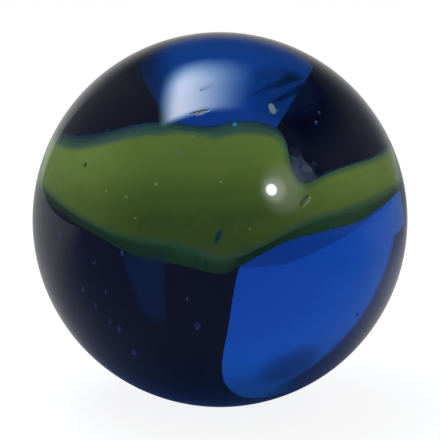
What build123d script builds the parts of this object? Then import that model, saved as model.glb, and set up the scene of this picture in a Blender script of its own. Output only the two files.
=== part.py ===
from build123d import *
import math
import os

# A glass marble: a ball of clear cobalt-blue glass with one ribbon of opaque green glass fused into its skin.
# The origin is the ball's centre, +Z is up, X runs to the right and Y away from the viewer.

# Driving sizes, in millimetres and degrees
ball_diameter = 16.0    # over the polished skin
ribbon_depth = 1.1      # how far the green glass reaches in from the skin, at the ribbon's thickest
flank_spread = 0.7      # how far a flank of the ribbon runs out under the blue glass at that depth, at most
flank_overrun = 0.3     # how far the flanks are drawn past the skin and past the ribbon's floor
ribbon_lean = 12.0      # how far the ribbon's own upright leans back from +Z

ball_radius = ball_diameter / 2
floor_radius = ball_radius - ribbon_depth
ribbon_plane = Plane.XY.rotated((-ribbon_lean, 0, 0))

# The ribbon's two edges on the skin, once round the ball. Each point is a share of a full turn, from the front
# towards the right, a height over the ball's middle as a share of its radius, and a share of flank_spread.
upper_edge_shares = [
    (0.000, 0.425, 1.00), (0.040, 0.437, 0.90), (0.0525, 0.405, 0.60), (0.0585, 0.255, 0.30),
    (0.066, 0.168, 0.20), (0.080, 0.192, 0.20), (0.146, 0.300, 0.20), (0.234, 0.405, 0.20),
    (0.400, 0.365, 0.00), (0.455, 0.350, 0.00), (0.4705, 0.290, 0.00), (0.478, 0.200, 0.00),
    (0.495, 0.115, 0.00), (0.516, 0.180, 0.00), (0.5245, 0.260, 0.00), (0.540, 0.345, 0.00),
    (0.600, 0.385, 0.00), (0.766, 0.475, 0.60), (0.862, 0.380, 1.00), (0.955, 0.436, 1.00),
]
lower_edge_shares = [
    (0.009, -0.191, 0.60), (0.039, -0.109, 0.35), (0.064, -0.031, 0.45), (0.123, 0.072, 0.75),
    (0.200, 0.190, 0.50), (0.360, 0.165, 0.00), (0.474, 0.035, 0.00), (0.487, -0.035, 0.00),
    (0.4942, -0.115, 0.00), (0.4975, -0.215, 0.00), (0.506, -0.310, 0.00), (0.530, -0.350, 0.00),
    (0.620, -0.220, 0.00), (0.766, 0.190, 0.50), (0.841, 0.104, 0.60), (0.889, -0.017, 0.60),
    (0.935, -0.100, 0.85), (0.975, -0.135, 1.00),
]


def edge_points(edge_shares, radius, lift):
    """One edge of the ribbon carried to another radius and moved up by its shares of lift."""
    points = []
    for turn_share, height_share, lift_share in edge_shares:
        turn = 2 * math.pi * turn_share
        height = height_share * radius + lift_share * lift
        reach = math.sqrt(radius**2 - height**2)
        points.append((reach * math.sin(turn), -reach * math.cos(turn), height))
    return points


def flank(edge_shares, spread):
    """One flank of the ribbon, ruled from past the skin to past the floor and rising by its shares of spread."""
    slope = spread / ribbon_depth
    outer_points = edge_points(edge_shares, ball_radius + flank_overrun, -slope * flank_overrun)
    inner_points = edge_points(edge_shares, floor_radius - flank_overrun, spread + slope * flank_overrun)
    with BuildLine(ribbon_plane):
        outer = Spline(outer_points, periodic=True)
        inner = Spline(inner_points, periodic=True)
    return Face.make_surface_from_curves(outer.edge(), inner.edge())


# Parted ring: the ball bored out along the ribbon's upright leaves a ring, thick in the middle and thin at its
# rims. It is parted along both of the ribbon's flanks.
with BuildPart(ribbon_plane) as parted_ring:
    Sphere(ball_radius)
    Cylinder(floor_radius, ball_diameter, mode=Mode.SUBTRACT)
    split(bisect_by=flank(upper_edge_shares, flank_spread), keep=Keep.ALL)
    split(bisect_by=flank(lower_edge_shares, -flank_spread), keep=Keep.ALL)

# Green ribbon: the middle piece of the parted ring
with BuildPart() as green_glass_ribbon:
    lower_rim, ribbon, upper_rim = parted_ring.solids().sort_by(Axis.Z)
    add(ribbon)

# Blue ball: the whole ball less the ribbon that is fused into it
with BuildPart() as blue_glass_ball:
    Sphere(ball_radius)
    add(green_glass_ribbon.part, mode=Mode.SUBTRACT)

os.makedirs("parts", exist_ok=True)
green_glass_ribbon.part.label = "green_glass_ribbon"
export_step(green_glass_ribbon.part, "parts/green_glass_ribbon.step")
blue_glass_ball.part.label = "blue_glass_ball"
export_step(blue_glass_ball.part, "parts/blue_glass_ball.step")
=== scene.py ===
import math

import bpy
import mathutils
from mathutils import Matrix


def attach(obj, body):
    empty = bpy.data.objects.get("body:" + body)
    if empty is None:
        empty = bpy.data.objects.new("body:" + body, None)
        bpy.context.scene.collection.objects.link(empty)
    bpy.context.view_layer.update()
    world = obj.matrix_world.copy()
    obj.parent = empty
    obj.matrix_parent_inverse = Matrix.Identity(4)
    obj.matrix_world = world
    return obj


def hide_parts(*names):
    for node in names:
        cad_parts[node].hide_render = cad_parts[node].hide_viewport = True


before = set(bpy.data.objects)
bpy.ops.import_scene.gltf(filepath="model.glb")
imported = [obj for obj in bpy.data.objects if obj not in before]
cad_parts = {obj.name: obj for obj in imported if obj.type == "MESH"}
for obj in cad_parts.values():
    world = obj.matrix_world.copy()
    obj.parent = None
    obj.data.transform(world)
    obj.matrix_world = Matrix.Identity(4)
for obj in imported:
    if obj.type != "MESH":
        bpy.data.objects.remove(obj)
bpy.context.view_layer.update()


# Green ribbon: one band of opaque green glass, laid round the blue gather while both were soft.
# Rolling pressed it flush with the skin, so its edges wander and its flanks run on as veils under the clear glass.
# Its skin carries two pits, a crescent chip, a blue slit and a few pale seeds. Shade is painted into the pits and the
# chip, and a highlight along the chip's lip.
ball_radius = 0.008
weld_gap = 0.0000005                    # corners nearer to each other than this are one
skin_edge = ball_radius - 0.000004      # a point nearer the centre than this lies under the skin
cutter_reach = 1.003                    # the cutting copy stands this much out past the skin
fused_depth = 0.00003                   # fused glass has no air between, so the green sinks this far into the blue
green_radius = ball_radius * 1.00002    # the green skin lies a hair over the round of the blue one
crisp_angle = math.radians(30)          # faces that meet at a wider angle keep a crisp edge
floor_reach = 0.00692                   # the ribbon's floor lies this far from its upright
flank_run = 0.00026                     # on the side that shows, the flanks run on this much further as thin veils
flank_starts = (0.0010, 0.0025, 0.0040, 0.0055)  # and do so in equal steps, each from nearer to the viewer
notch_side = 0.0034                     # further right than this
notch_foot = 0.0011                     # and higher than this, past the notch, there is no veil
view_lean = math.radians(12)            # the side that shows is seen from this far above the level
rightward = mathutils.Vector((1, 0, 0))
upright = mathutils.Vector((0, math.sin(view_lean), math.cos(view_lean)))
to_viewer = mathutils.Vector((0, -math.cos(view_lean), math.sin(view_lean)))

green_cutter = bpy.data.objects.new("green_cutter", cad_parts["green_glass_ribbon"].data.copy())
bpy.context.scene.collection.objects.link(green_cutter)
bpy.ops.object.select_all(action="DESELECT")
green_cutter.select_set(True)
bpy.context.view_layer.objects.active = green_cutter
bpy.ops.object.mode_set(mode="EDIT")
bpy.ops.mesh.select_mode(type="VERT")
bpy.ops.mesh.select_all(action="SELECT")
bpy.ops.mesh.remove_doubles(threshold=weld_gap)
bpy.ops.mesh.select_all(action="DESELECT")
bpy.ops.object.mode_set(mode="OBJECT")
for point in green_cutter.data.vertices:
    point.select = point.co.length > skin_edge
bpy.ops.object.mode_set(mode="EDIT")
bpy.ops.transform.resize(value=(cutter_reach,) * 3, center_override=(0, 0, 0))
bpy.ops.object.mode_set(mode="OBJECT")

fused_cutter = green_cutter.copy()
fused_cutter.data = green_cutter.data.copy()
bpy.context.scene.collection.objects.link(fused_cutter)
bpy.ops.object.select_all(action="DESELECT")
fused_cutter.select_set(True)
bpy.context.view_layer.objects.active = fused_cutter
bpy.ops.object.mode_set(mode="EDIT")
bpy.ops.mesh.select_all(action="SELECT")
bpy.ops.transform.shrink_fatten(value=fused_depth)
bpy.ops.object.mode_set(mode="OBJECT")

bpy.ops.object.select_all(action="DESELECT")
bpy.ops.mesh.primitive_ico_sphere_add(subdivisions=7, radius=green_radius)
ribbon = bpy.context.active_object
ribbon.name = "green_ribbon"
band = ribbon.modifiers.new("band", "BOOLEAN")
band.operation = "INTERSECT"
band.solver = "EXACT"
band.object = fused_cutter
bpy.ops.object.modifier_apply(modifier="band")
bpy.data.objects.remove(fused_cutter)
for flank_start in flank_starts:
    bpy.ops.object.mode_set(mode="EDIT")
    bpy.ops.mesh.select_all(action="DESELECT")
    bpy.ops.object.mode_set(mode="OBJECT")
    for point in ribbon.data.vertices:
        rise = point.co.dot(upright)
        reach = (point.co - upright * rise).length
        past_notch = point.co.x > notch_side and rise > notch_foot
        point.select = reach < floor_reach and point.co.dot(to_viewer) > flank_start and not past_notch
    bpy.ops.object.mode_set(mode="EDIT")
    bpy.ops.transform.shrink_fatten(value=flank_run / len(flank_starts))
    bpy.ops.object.mode_set(mode="OBJECT")
bpy.ops.object.shade_smooth_by_angle(angle=crisp_angle)

# The ribbon's finish changes with the distance from its edge on the skin, so each point carries that distance.
border = set()
for face in ribbon.data.polygons:
    on_skin = [i for i in face.vertices if ribbon.data.vertices[i].co.length > skin_edge]
    if len(on_skin) < len(face.vertices):
        border.update(on_skin)
nearest = mathutils.kdtree.KDTree(len(border))
for index in border:
    nearest.insert(ribbon.data.vertices[index].co, index)
nearest.balance()
from_edge = ribbon.data.attributes.new("from_edge", "FLOAT", "POINT")
for point in ribbon.data.vertices:
    from_edge.data[point.index].value = nearest.find(point.co)[2]


class Recipe:
    """One value in a finish. Sums and products of such values add their own maths nodes."""

    def __init__(self, tree, socket=None):
        self.tree = tree
        self.socket = socket

    def node(self, kind, settings=None, values=None, output=0):
        """Adds a node of any kind, its settings first and then the values or links of its sockets."""
        made = self.tree.nodes.new(kind)
        for name, value in (settings or {}).items():
            setattr(made, name, value)
        for name, value in (values or {}).items():
            if isinstance(value, Recipe):
                self.tree.links.new(value.socket, made.inputs[name])
            else:
                made.inputs[name].default_value = value
        return Recipe(self.tree, made.outputs[output] if made.outputs else None)

    def maths(self, operation, first, second):
        return self.node("ShaderNodeMath", {"operation": operation}, {0: first, 1: second})

    def __add__(self, other):
        return self.maths("ADD", self, other)

    def __radd__(self, other):
        return self.maths("ADD", other, self)

    def __sub__(self, other):
        return self.maths("SUBTRACT", self, other)

    def __rsub__(self, other):
        return self.maths("SUBTRACT", other, self)

    def __mul__(self, other):
        return self.maths("MULTIPLY", self, other)

    def __rmul__(self, other):
        return self.maths("MULTIPLY", other, self)

    def __truediv__(self, other):
        return self.maths("DIVIDE", self, other)

    def __rtruediv__(self, other):
        return self.maths("DIVIDE", other, self)


def finish_named(name):
    """A bare material and the recipe that its nodes are added to."""
    finish = bpy.data.materials.new(name)
    finish.use_nodes = True
    finish.node_tree.nodes.clear()
    return finish, Recipe(finish.node_tree)


def vector(operation, first, second=None, output=0):
    """One vector maths node. The second value may be left out."""
    values = {0: first} if second is None else {0: first, 1: second}
    return first.node("ShaderNodeVectorMath", {"operation": operation}, values, output)


def scaled(value, factor):
    """A vector made longer or shorter by a factor."""
    return value.node("ShaderNodeVectorMath", {"operation": "SCALE"}, {0: value, "Scale": factor})


def dot(value, direction):
    """How far a place lies along a direction."""
    return vector("DOT_PRODUCT", value, direction, "Value")


def fade(value, start, end):
    """Runs smoothly from 0 at start to 1 at end."""
    return value.node(
        "ShaderNodeMapRange",
        {"interpolation_type": "SMOOTHSTEP"},
        {"Value": value, "From Min": start, "From Max": end},
    )


def blend(share, first, second):
    """The first colour where share is 0, the second where it is 1."""
    return share.node("ShaderNodeMix", {"data_type": "RGBA"}, {0: share, 6: first, 7: second}, 2)


mark_rim, mark_heart = 1.5, 0.4         # a mark begins and is full at these squares of the distance over its half size


def mark(place, centre, lean, length, width):
    """An oval mark on the skin, 1 inside and 0 outside, its long way leaning up from the right by so many degrees."""
    turn = math.radians(lean)
    along = rightward * math.cos(turn) + upright * math.sin(turn)
    across = upright * math.cos(turn) - rightward * math.sin(turn)
    offset = vector("SUBTRACT", place, centre)
    far = dot(offset, along * (2 / length))
    wide = dot(offset, across * (2 / width))
    deep = dot(offset, to_viewer * (2 / length))
    return fade(far * far + wide * wide + deep * deep, mark_rim, mark_heart)


skin_top = ball_radius - 0.000002       # from this radius
skin_foot = ball_radius - 0.000010      # to this one the skin's finish gives way to that of the buried glass


def round_normal(place, radius):
    """The true normal of the round skin, and the mesh's own normal under it."""
    facing = place.node("ShaderNodeNewGeometry", output="Normal")
    inside = place.node("ShaderNodeNewGeometry", output="Backfacing")
    outward = place.node(
        "ShaderNodeVectorTransform",
        {"vector_type": "NORMAL", "convert_from": "OBJECT", "convert_to": "WORLD"},
        {"Vector": vector("NORMALIZE", place)},
    )
    outward = scaled(outward, 1 - inside * 2)
    on_skin = fade(radius, skin_foot, skin_top)
    return place.node("ShaderNodeMix", {"data_type": "VECTOR"}, {0: on_skin, 4: facing, 5: outward}, 1)


glass_index = 1.52
shaded_green = (0.035, 0.070, 0.014, 1)
lit_green = (0.122, 0.185, 0.035, 1)
cloud_green = (0.065, 0.115, 0.020, 1)
seed_green = (0.26, 0.32, 0.16, 1)
scuff_green = (0.06, 0.16, 0.10, 1)
painted_lip_highlight = (0.22, 0.26, 0.10, 1)
painted_chip_shade = (0.030, 0.040, 0.012, 1)
painted_pit_shade = (0.020, 0.030, 0.008, 1)
slit_blue = (0.002, 0.030, 0.075, 1)
edge_teal = (0.022, 0.075, 0.050, 1)
upper_edge_teal = (0.021, 0.060, 0.054, 1)

green_glass, green = finish_named("green_glass")
place = green.node("ShaderNodeTexCoord", output="Object")
radius = vector("LENGTH", place, output="Value")
height = dot(place, upright)
side = dot(place, rightward)
edge = green.node("ShaderNodeAttribute", {"attribute_name": "from_edge"}, output="Fac")
drawn_out = green.node("ShaderNodeMapping", {}, {"Vector": place, "Scale": (0.5, 0.5, 1.7)})
swirl = green.node("ShaderNodeTexNoise", {}, {"Vector": drawn_out, "Scale": 420, "Detail": 3, "Distortion": 0.8})
cloud = green.node("ShaderNodeTexNoise", {}, {"Vector": place, "Scale": 1900, "Detail": 4})
# Painted light: the green is made lighter towards the top and both ends, as light falls from above and the sides, and
# darker low in the middle. The swirl and the clouds are its own.
painted_light_share = fade(height, 0.0000, 0.0024) * 0.6 + fade(side, -0.0024, -0.0060) * 0.4 + fade(side, 0.0012, 0.0048) * 0.6
leaf = blend(painted_light_share + (swirl - 0.5) * 0.5, shaded_green, lit_green)
leaf = blend(fade(cloud, 0.30, 0.75) * 0.25, leaf, cloud_green)

pits = mark(place, (-0.006762, -0.002217, 0.003656), 80, 0.00020, 0.00014)
pits = pits + mark(place, (-0.005379, -0.004936, 0.003271), 60, 0.00019, 0.00015)
chip = mark(place, (0.003290, -0.006940, 0.002230), 50, 0.00052, 0.00016)
chip_lip_highlight = mark(place, (0.003400, -0.006920, 0.002170), 50, 0.00056, 0.00017)
slit = mark(place, (-0.000075, -0.007937, 0.000998), 62, 0.00062, 0.00018)
scuff = mark(place, (-0.001630, -0.006673, 0.004101), 55, 0.00040, 0.00012)
seeds = mark(place, (-0.002482, -0.007029, 0.002903), 0, 0.00016, 0.00014)
for seed in (
    (-0.003305, -0.007113, 0.001572), (-0.003667, -0.006718, 0.002327), (-0.004480, -0.006157, 0.002455),
    (-0.001049, -0.006399, 0.004685), (0.000041, -0.007395, 0.003053), (0.001160, -0.007810, 0.001286),
    (0.000968, -0.007937, 0.000246), (0.006864, -0.003227, 0.002545),
):
    seeds = seeds + mark(place, seed, 20, 0.00012, 0.00010)
leaf = blend(seeds * 0.45, leaf, seed_green)
leaf = blend(scuff * 0.7, leaf, scuff_green)
# Painted light: shade in the chip and the pits, and a paler highlight along the chip's lip.
leaf = blend(chip_lip_highlight * 0.5, leaf, painted_lip_highlight)
leaf = blend(chip * 0.85, leaf, painted_chip_shade)
leaf = blend(pits, leaf, painted_pit_shade)
leaf = blend(slit, leaf, slit_blue)

# Blue shows through the thin edge. Along the top left it does so further in, apart from one crest.
ragged_edge = edge + (cloud - 0.5) * 0.0001
off_crest = side + 0.0012
upper_left = fade(height, 0.0018, 0.0024) * fade(side, 0.0028, 0.0018) * fade(off_crest * off_crest, 0.0, 0.0000012)
leaf = blend(fade(ragged_edge, 0.00030, 0.0) * 0.85, leaf, edge_teal)
leaf = blend(fade(ragged_edge, 0.00044, 0.00010) * upper_left * 0.85, leaf, upper_edge_teal)
dents = green.node(
    "ShaderNodeBump",
    {"invert": True},
    {
        "Strength": 0.6,
        "Distance": 0.00005,
        "Height": chip + pits + slit * 0.5,
        "Normal": round_normal(place, radius),
    },
)
skin = green.node(
    "ShaderNodeBsdfPrincipled",
    {},
    {"Base Color": leaf, "Roughness": 0.03 + (chip + pits) * 0.3, "IOR": glass_index, "Normal": dents},
)

# Under the skin the flanks that face up and down are veils of their own colours, and the rest is plain green.
slope = dot(green.node("ShaderNodeNewGeometry", output="Normal"), upright)
front = fade(dot(place, to_viewer), -0.001, 0.002)
far_out = fade(edge, 0.00008, 0.00060)
upper_veil = blend(far_out, (0.045, 0.135, 0.100, 1), (0.008, 0.060, 0.150, 1))
lower_veil = blend(far_out, (0.044, 0.185, 0.055, 1), (0.034, 0.145, 0.046, 1))
lower_veil = blend(fade(side, 0.0010, 0.0040), lower_veil, (0.120, 0.340, 0.110, 1))
under = blend(fade(slope, 0.15, 0.45) * front, (0.040, 0.360, 0.180, 1), upper_veil)
under = blend(fade(slope, -0.15, -0.45) * front, under, lower_veil)
fused = green.node("ShaderNodeBsdfPrincipled", {}, {"Base Color": under, "Roughness": 1.0, "Specular IOR Level": 0.0})
buried = fade(radius, skin_top, skin_foot)
whole = green.node("ShaderNodeMixShader", {}, {0: buried, 1: skin, 2: fused})
green.node("ShaderNodeOutputMaterial", {}, {"Surface": whole})
ribbon.data.materials.clear()
ribbon.data.materials.append(green_glass)
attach(ribbon, "root")
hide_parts("green_glass_ribbon")


# Blue ball: clear cobalt-blue glass, gathered, rolled round and polished by its own heat.
# The bed that the ribbon fills runs round it, and its colour comes from the depth of glass that is looked through.
# Play has left a short scratch and a crease near its top.
cobalt_blue = (0.0, 0.50, 0.825, 1)     # what a little of the glass lets through
cobalt_density = 400                    # how fast its colour deepens
bpy.ops.object.select_all(action="DESELECT")
bpy.ops.mesh.primitive_ico_sphere_add(subdivisions=7, radius=ball_radius)
ball = bpy.context.active_object
ball.name = "blue_ball"
bed = ball.modifiers.new("bed", "BOOLEAN")
bed.operation = "DIFFERENCE"
bed.solver = "EXACT"
bed.object = green_cutter
bpy.ops.object.modifier_apply(modifier="bed")
bpy.data.objects.remove(green_cutter)
bpy.ops.object.shade_smooth_by_angle(angle=crisp_angle)

cobalt_glass, cobalt = finish_named("cobalt_glass")
place = cobalt.node("ShaderNodeTexCoord", output="Object")
radius = vector("LENGTH", place, output="Value")
scratch = mark(place, (-0.000591, -0.004832, 0.006349), 25, 0.00040, 0.00008)
crease = mark(place, (-0.000782, -0.005731, 0.005527), 12, 0.00070, 0.00012)
ripple = cobalt.node("ShaderNodeTexNoise", {}, {"Vector": place, "Scale": 260, "Detail": 1})
dents = cobalt.node(
    "ShaderNodeBump",
    {"invert": True},
    {
        "Strength": 0.5,
        "Distance": 0.00004,
        "Height": scratch + crease + ripple * 0.10,
        "Normal": round_normal(place, radius),
    },
)
clear = cobalt.node(
    "ShaderNodeBsdfPrincipled",
    {},
    {
        "Base Color": (1, 1, 1, 1),
        "Roughness": (scratch + crease) * 0.2,
        "IOR": glass_index,
        "Transmission Weight": 1,
        "Normal": dents,
    },
)
depth = cobalt.node("ShaderNodeVolumeAbsorption", {}, {"Color": cobalt_blue, "Density": cobalt_density})
cobalt.node("ShaderNodeOutputMaterial", {}, {"Surface": clear, "Volume": depth})
ball.data.materials.clear()
ball.data.materials.append(cobalt_glass)
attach(ball, "root")
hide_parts("blue_glass_ball")


# Seed bubbles: pinheads of air that stayed in the blue glass just under its skin. The light they catch is painted into
# their colour as a blue glint.
# Drawing out the gather left each of them a little longer than it is wide. One by the ribbon's top edge is larger.
seed_depth = 0.00003                    # blue glass over each bubble
seed_stretch = (0.85, 0.85, 1.35)       # a bubble's shares of its width, across and along
seed_sink = 0.62                        # from a bubble's top to its middle, as a share of its width
painted_dim_glint = (0.018, 0.040, 0.200, 1)
painted_pale_glint = (0.060, 0.110, 0.360, 1)
painted_bright_glint = (0.030, 0.480, 0.950, 1)
bpy.ops.object.select_all(action="DESELECT")
bpy.ops.mesh.primitive_ico_sphere_add(subdivisions=3, radius=0.5)
bubble = bpy.context.active_object
bpy.ops.object.mode_set(mode="EDIT")
bpy.ops.mesh.select_all(action="SELECT")
bpy.ops.transform.resize(value=seed_stretch)
bpy.ops.object.mode_set(mode="OBJECT")
bpy.ops.object.shade_smooth()
bubbles = []
for width, at in (
    (0.00018, (-0.006491, -0.004663, 0.000353)), (0.00019, (-0.005534, -0.005516, -0.001718)),
    (0.00018, (-0.005045, -0.005761, -0.002317)), (0.00013, (-0.004557, -0.006382, -0.001581)),
    (0.00019, (-0.004438, -0.005981, -0.002920)), (0.00022, (-0.004076, -0.006082, -0.003224)),
    (0.00026, (-0.003502, -0.005755, -0.004315)), (0.00027, (-0.000900, -0.007453, -0.002765)),
    (0.00012, (-0.005029, -0.006206, -0.000442)), (0.00018, (-0.003872, -0.007000, 0.000108)),
    (0.00018, (0.003852, -0.004915, 0.005001)), (0.00016, (0.003992, -0.004435, 0.005328)),
    (0.00012, (-0.001282, -0.007741, -0.001558)), (0.00014, (-0.004499, -0.004709, 0.004646)),
    (0.00025, (0.000587, -0.006150, 0.005090)), (0.00015, (0.005600, -0.004900, -0.002900)),
    (0.00016, (-0.002600, 0.006300, -0.004200)), (0.00014, (0.004100, 0.005200, -0.004500)),
    (0.00018, (-0.003300, 0.003900, 0.006200)), (0.00015, (0.006700, 0.003100, -0.003100)),
):
    copy = bubble.copy()
    copy.data = bubble.data.copy()
    bpy.context.scene.collection.objects.link(copy)
    copy.location = mathutils.Vector(at).normalized() * (ball_radius - seed_depth - width * seed_sink)
    copy.scale = (width,) * 3
    bubbles.append(copy)
bpy.data.objects.remove(bubble)
bpy.ops.object.select_all(action="DESELECT")
for copy in bubbles:
    copy.select_set(True)
bpy.context.view_layer.objects.active = bubbles[0]
bpy.ops.object.join()
bubbles = bpy.context.active_object
bubbles.name = "seed_bubbles"
bpy.ops.object.transform_apply(location=True, rotation=True, scale=True)

trapped_air, air_seed = finish_named("trapped_air")
place = air_seed.node("ShaderNodeTexCoord", output="Object")
glint_noise = air_seed.node("ShaderNodeTexNoise", {}, {"Vector": place, "Scale": 6000, "Detail": 2})
# Painted light: the blue glint the bubbles catch, running from dim to pale by a noise, and bright on the larger one.
painted_glint = blend(fade(glint_noise, 0.35, 0.65), painted_dim_glint, painted_pale_glint)
large_seed = mark(place, (0.000572, -0.005990, 0.004960), 0, 0.0010, 0.0010)
painted_glint = blend(large_seed, painted_glint, painted_bright_glint)
painted_glint = air_seed.node(
    "ShaderNodeBsdfPrincipled", {}, {"Base Color": painted_glint, "Roughness": 0.5, "Specular IOR Level": 0.0}
)
air_seed.node("ShaderNodeOutputMaterial", {}, {"Surface": painted_glint})
bubbles.data.materials.clear()
bubbles.data.materials.append(trapped_air)
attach(bubbles, "root")


# Wisps: films of paler glass, thinner than paper, that were folded in close under the skin and drawn out with it.
# There is smoke in the ribbon's notch, a white flake over it, teal smears by the top and a faint veil low on the left.
# Other films only carry paint: painted shade as a dark haze on the top's right side and as a dark line over the
# crease, with a painted highlight along the crease's lip.
wisp_depth = 0.00030                    # blue glass over the films
film_ovals = {                          # centre, lean in degrees, length and width
    "smoke": ((0.003180, -0.006300, 0.003200), -62, 0.00190, 0.00100),
    "flake": ((0.002030, -0.005010, 0.005480), 108, 0.00052, 0.00027),
    "top": ((0.002350, -0.004150, 0.006050), 25, 0.00340, 0.00260),
    "crease": ((-0.000780, -0.005340, 0.005490), 18, 0.00085, 0.00024),
    "lip": ((-0.000650, -0.005440, 0.005390), 16, 0.00060, 0.00016),
}
torn_room = 0.0004                      # room that is left round each oval for its torn edge
veil_lean, veil_rise = 0.35, 0.00135    # the veil's left side leans in by this much over this height
veil_blue = (0.000, 0.090, 0.360, 1)
painted_top_shade_blue = (0.006, 0.026, 0.090, 1)
smear_teal = (0.000, 0.190, 0.360, 1)
shade_blue = (0.000, 0.020, 0.070, 1)
smoke_grey = (0.170, 0.205, 0.310, 1)
painted_crease_highlight_white = (0.500, 0.560, 0.640, 1)
painted_crease_shade_blue = (0.000, 0.010, 0.040, 1)
flake_white = (0.380, 0.440, 0.540, 1)
bpy.ops.object.select_all(action="DESELECT")
bpy.ops.mesh.primitive_ico_sphere_add(subdivisions=7, radius=ball_radius - wisp_depth)
wisps = bpy.context.active_object
wisps.name = "pale_wisps"
bpy.ops.object.mode_set(mode="EDIT")
bpy.ops.mesh.select_all(action="DESELECT")
bpy.ops.object.mode_set(mode="OBJECT")


def within(point, centre, lean, length, width):
    """Whether a point lies in an oval or in the room for its torn edge."""
    turn = math.radians(lean)
    offset = point - mathutils.Vector(centre)
    rise = offset.dot(upright)
    far = (offset.x * math.cos(turn) + rise * math.sin(turn)) * 2 / (length + torn_room)
    wide = (rise * math.cos(turn) - offset.x * math.sin(turn)) * 2 / (width + torn_room)
    return far * far + wide * wide < mark_rim and offset.length < length + torn_room


for face in wisps.data.polygons:
    rise = face.center.dot(upright)
    left_side = face.center.x + (rise + veil_rise) * veil_lean
    in_veil = left_side > -0.00400 and face.center.x < -0.00200 and -0.0044 < rise < -0.0011 and face.center.y < 0
    face.select = not in_veil and not any(within(face.center, *oval) for oval in film_ovals.values())
bpy.ops.object.mode_set(mode="EDIT")
bpy.ops.mesh.select_mode(type="FACE")
bpy.ops.mesh.delete(type="FACE")
bpy.ops.mesh.select_mode(type="VERT")
bpy.ops.object.mode_set(mode="OBJECT")
bpy.ops.object.shade_smooth()

pale_film, film = finish_named("pale_film")
place = film.node("ShaderNodeTexCoord", output="Object")
height = dot(place, upright)
side = dot(place, rightward)
curl = film.node("ShaderNodeTexNoise", {}, {"Vector": place, "Scale": 1300, "Detail": 2, "Distortion": 0.8})
rag = film.node("ShaderNodeTexNoise", {}, {"Vector": place, "Scale": 1700, "Detail": 3}, "Color")
torn = vector("ADD", place, scaled(vector("SUBTRACT", rag, (0.5, 0.5, 0.5)), 0.0010))
along = side * 0.88 + height * 0.47
across = height * 0.88 - side * 0.47
slant = film.node("ShaderNodeCombineXYZ", {}, {"X": along * 0.25, "Y": across * 1.9})
drawn = film.node("ShaderNodeTexNoise", {}, {"Vector": slant, "Scale": 1100, "Detail": 3, "Distortion": 0.4})
smoke = mark(torn, *film_ovals["smoke"]) * fade(curl, 0.25, 0.72)
flake = mark(place, *film_ovals["flake"])
top_film = mark(place, *film_ovals["top"])
smear = top_film * fade(drawn, 0.52, 0.64)
shade = top_film * fade(drawn, 0.46, 0.36)
# Painted shade: a dark haze over the right side of the top film.
painted_top_shade = top_film * fade(side, 0.0008, 0.0020)
# Painted shade as a dark line over the crease, and a painted highlight along its lip.
crease_shade = mark(torn, *film_ovals["crease"])
crease_highlight = mark(torn, *film_ovals["lip"])
veil = fade(side + (height + veil_rise) * veil_lean, -0.00396, -0.00370) * fade(side, -0.00206, -0.00220)
veil = veil * fade(height, -0.0043, -0.0034) * fade(height, -0.0012, -0.0017) * fade(side, 0.0, -0.001)
tint = blend(fade(side, -0.001, 0.0), veil_blue, painted_top_shade_blue)
tint = blend(smear, tint, smear_teal)
tint = blend(shade, tint, shade_blue)
tint = blend(fade(smoke, 0.0, 0.2), tint, smoke_grey)
tint = blend(crease_highlight, tint, painted_crease_highlight_white)
tint = blend(crease_shade, tint, painted_crease_shade_blue)
tint = blend(flake, tint, flake_white)
cover = smoke * 0.95 + flake * 0.95 + smear * 0.6 + shade * 0.5 + painted_top_shade * 0.4
cover = cover + veil * 0.22 + crease_shade * 0.85 + crease_highlight * 0.7
film_shader = film.node(
    "ShaderNodeBsdfPrincipled",
    {},
    {"Base Color": tint, "Roughness": 0.8, "Specular IOR Level": 0.0, "Alpha": cover},
)
film.node("ShaderNodeOutputMaterial", {}, {"Surface": film_shader})
wisps.data.materials.clear()
wisps.data.materials.append(pale_film)
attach(wisps, "root")


# Floor: a plain pale sheet that the ball rests on, large enough to fill the view behind it.
# The ball shades it at its foot. In the ball's skin its mirror image carries a painted shadow at the foot and a little
# painted blue light there. Looked at through the ball, it is dull as far as 22 mm to the left and about 112 mm behind,
# and white past that.
floor_size = 0.26
floor_gap = 0.00001                     # keeps the sheet clear of the ball's foot
bpy.ops.object.select_all(action="DESELECT")
bpy.ops.mesh.primitive_plane_add(size=floor_size, location=(0, 0, -ball_radius - floor_gap))
floor = bpy.context.active_object
floor.name = "pale_floor"
bpy.ops.object.transform_apply(location=True, rotation=False, scale=False)

pale_sheet, sheet = finish_named("pale_sheet")
place = sheet.node("ShaderNodeTexCoord", output="Object")
from_foot = vector("LENGTH", vector("MULTIPLY", place, (1, 1, 0)), output="Value")
back = dot(place, (0, 1, 0))
across = dot(place, rightward)
# Painted shadow and light: as the skin mirrors the floor, it is painted dark at the ball's foot, with a little blue
# light there.
painted_mirror_light = fade(from_foot, 0.003, 0.011) * (0.22 + fade(back, -0.008, 0.012) * 0.60)
painted_mirror_light = painted_mirror_light * (1 - fade(across, 0.014, 0.030) * 0.45)
far_floor = 1 - fade(across, -0.0226, -0.0210) * fade(back, 0.120, 0.105)
near_floor = fade(back, 0.040, 0.026)
beside = fade(across, -0.0005, -0.0045) * 0.37 + fade(across, 0.0012, 0.0026) * 0.9
seen = blend(beside * near_floor, (0.66, 0.66, 0.66, 1), (0.10, 0.10, 0.10, 1))
matt = sheet.node("ShaderNodeBsdfDiffuse", {}, {"Color": (0.90, 0.90, 0.90, 1)})
dull = sheet.node("ShaderNodeBsdfDiffuse", {}, {"Color": (0.30, 0.30, 0.30, 1)})
white = sheet.node("ShaderNodeEmission", {}, {"Color": (1, 1, 1, 1), "Strength": 1.03})
painted_blue_foot_light = sheet.node("ShaderNodeEmission", {}, {"Color": (0.15, 0.32, 1, 1), "Strength": 0.13})
pale = sheet.node("ShaderNodeEmission", {}, {"Color": (1, 1, 1, 1), "Strength": 0.50})
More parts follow.
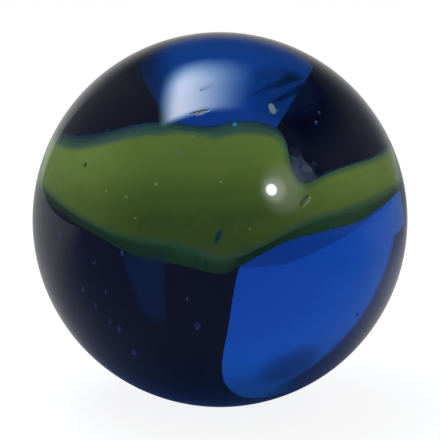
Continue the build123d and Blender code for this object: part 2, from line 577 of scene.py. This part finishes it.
soft = sheet.node("ShaderNodeEmission", {}, {"Color": seen, "Strength": 1.0})
soft = sheet.node("ShaderNodeMixShader", {}, {0: far_floor, 1: soft, 2: white})
mirrored = sheet.node("ShaderNodeMixShader", {}, {0: painted_mirror_light, 1: painted_blue_foot_light, 2: pale})
shadowed = sheet.node("ShaderNodeMixShader", {}, {0: 0.85, 1: matt, 2: white})
glint = sheet.node("ShaderNodeLightPath", output="Is Glossy Ray")
through = sheet.node("ShaderNodeLightPath", output="Is Transmission Ray")
plain_view = sheet.node("ShaderNodeLightPath", output="Is Camera Ray")
sheet_face = sheet.node("ShaderNodeMixShader", {}, {0: glint, 1: dull, 2: mirrored})
sheet_face = sheet.node("ShaderNodeMixShader", {}, {0: through, 1: sheet_face, 2: soft})
sheet_face = sheet.node("ShaderNodeMixShader", {}, {0: plain_view, 1: sheet_face, 2: shadowed})
sheet.node("ShaderNodeOutputMaterial", {}, {"Surface": sheet_face})
floor.data.materials.append(pale_sheet)


# Room: a white backdrop behind the ball, dim walls, a dark side where the viewer stands, a soft window of light
# overhead and one small lamp at the front right. All of it is far away next to the ball, so the world holds it.
window_strength = 11.5
window_white = (0.97, 1.02, 1.00, 1)
window_rim_blue = (0.42, 0.84, 1.15, 1)
lamp_rings = (                          # right, up and towards the viewer, outer and inner angle, strength
    ((0.500, 0.29, 0.816), 4.0, 0.3, 32),
    ((0.53, 0.29, 0.80), 9, 0, 3.0),
    ((0.60, 0.29, 0.74), 17, 0, 1.4),
)
spot_way = (-0.309, 0.651, -0.693)      # a dimmer patch of the backdrop: right, up and towards the viewer
room = bpy.data.worlds.new("room")
bpy.context.scene.world = room
room.use_nodes = True
room.node_tree.nodes.clear()
air = Recipe(room.node_tree)
sight = air.node("ShaderNodeTexCoord", output="Generated")
right = dot(sight, rightward)
up = dot(sight, upright)
away = dot(sight, -to_viewer)


def at_least(value, least):
    return value.maths("MAXIMUM", value, least)


def cone(way, outer, inner):
    """1 within the inner angle of a way from the ball and 0 outside the outer one."""
    x, y, z = way
    off_way = dot(sight, rightward * x + upright * y + to_viewer * z)
    return fade(off_way, math.cos(math.radians(outer)), math.cos(math.radians(inner)))


# What the skin mirrors: the walls, the window overhead and the lamp with its glow
behind = at_least(away, 0.02)
wall_across = right / behind
wall_over = up / behind
wall = fade(wall_across, -0.72, -0.60) * fade(wall_across, 1.1, 0.0) * fade(wall_over, 0.85, 0.10)
wall = wall * fade(away, 0.02, 0.2)
walls = 0.16 - fade(up, 0.45, 0.75) * fade(right, -0.55, -0.30) * 0.13 + wall * 0.44
dark_side = fade(away, -0.24, -0.36)
walls = walls * (1 - dark_side) + dark_side * 0.10
overhead = at_least(up, 0.02)
box_right = right / overhead
box_near = away * -1 / overhead
front_edge = 0.38 - box_right * 0.12 - box_near
left_edge = box_right + 0.42 - (0.10 - box_near) * 0.36
window = fade(front_edge, -0.06, 0.07) * fade(left_edge, -0.13, 0.12) * fade(box_near, -0.50, -0.03)
window = window * fade(box_right, 0.28, -0.40) * fade(up, 0.3, 0.5)
lamp = 0
for lamp_way, outer, inner, strength in lamp_rings:
    lamp = lamp + cone(mathutils.Vector(lamp_way).normalized(), outer, inner) * strength

# What lights the ball, and the backdrop that is seen through it
soft_room = 0.05 + at_least(up, 0.0) * 0.48 + at_least(right * -1, 0.0) * 0.83 + at_least(right, 0.0) * 0.66
backdrop_edge = right + away * 1.571 - up * 0.714
past_backdrop = fade(backdrop_edge, 0.06, -0.10) * fade(right, -0.2, -0.4) * fade(away, 0.0, 0.1)
high = fade(wall_over, 0.55, 1.3) * fade(away, 0.0, 0.1)
backdrop = (1 - past_backdrop * 0.78) * (1 - high * 0.4) * (1 - cone(spot_way, 11, 3) * 0.5)

camera_ray = air.node("ShaderNodeLightPath", output="Is Camera Ray")
glint_ray = air.node("ShaderNodeLightPath", output="Is Glossy Ray")
glass_ray = air.node("ShaderNodeLightPath", output="Is Transmission Ray")
level = soft_room * (1 - glint_ray) + walls * glint_ray + lamp
level = level * (1 - glass_ray) + backdrop * glass_ray
level = level * (1 - camera_ray) + camera_ray
light = air.node("ShaderNodeBackground", {}, {"Color": (1, 1, 1, 1), "Strength": level})
daylight_level = window * window_strength * (1 - glass_ray) * (1 - camera_ray)
daylight_tint = blend(window, window_rim_blue, window_white)
daylight = air.node("ShaderNodeBackground", {}, {"Color": daylight_tint, "Strength": daylight_level})
light = air.node("ShaderNodeAddShader", {}, {0: light, 1: daylight})
air.node("ShaderNodeOutputWorld", {}, {"Surface": light})


# Camera: level with the view that shows the notch, ten radii away and twelve degrees above the ball's middle.
view_distance = 0.080
half_picture = 0.11787                  # half the picture's width, as a share of that distance
picture_shift = -0.0010                 # sets the ball a hair above the picture's middle
sensor_width = 36
bpy.ops.object.camera_add(location=to_viewer * view_distance, rotation=(math.pi / 2 - view_lean, 0, 0))
camera = bpy.context.active_object
camera.data.sensor_width = sensor_width
camera.data.lens = sensor_width / 2 / half_picture
camera.data.shift_y = picture_shift
camera.data.clip_start = 0.005
camera.data.clip_end = 10
bpy.context.scene.camera = camera
bpy.context.scene.view_settings.view_transform = "Standard"
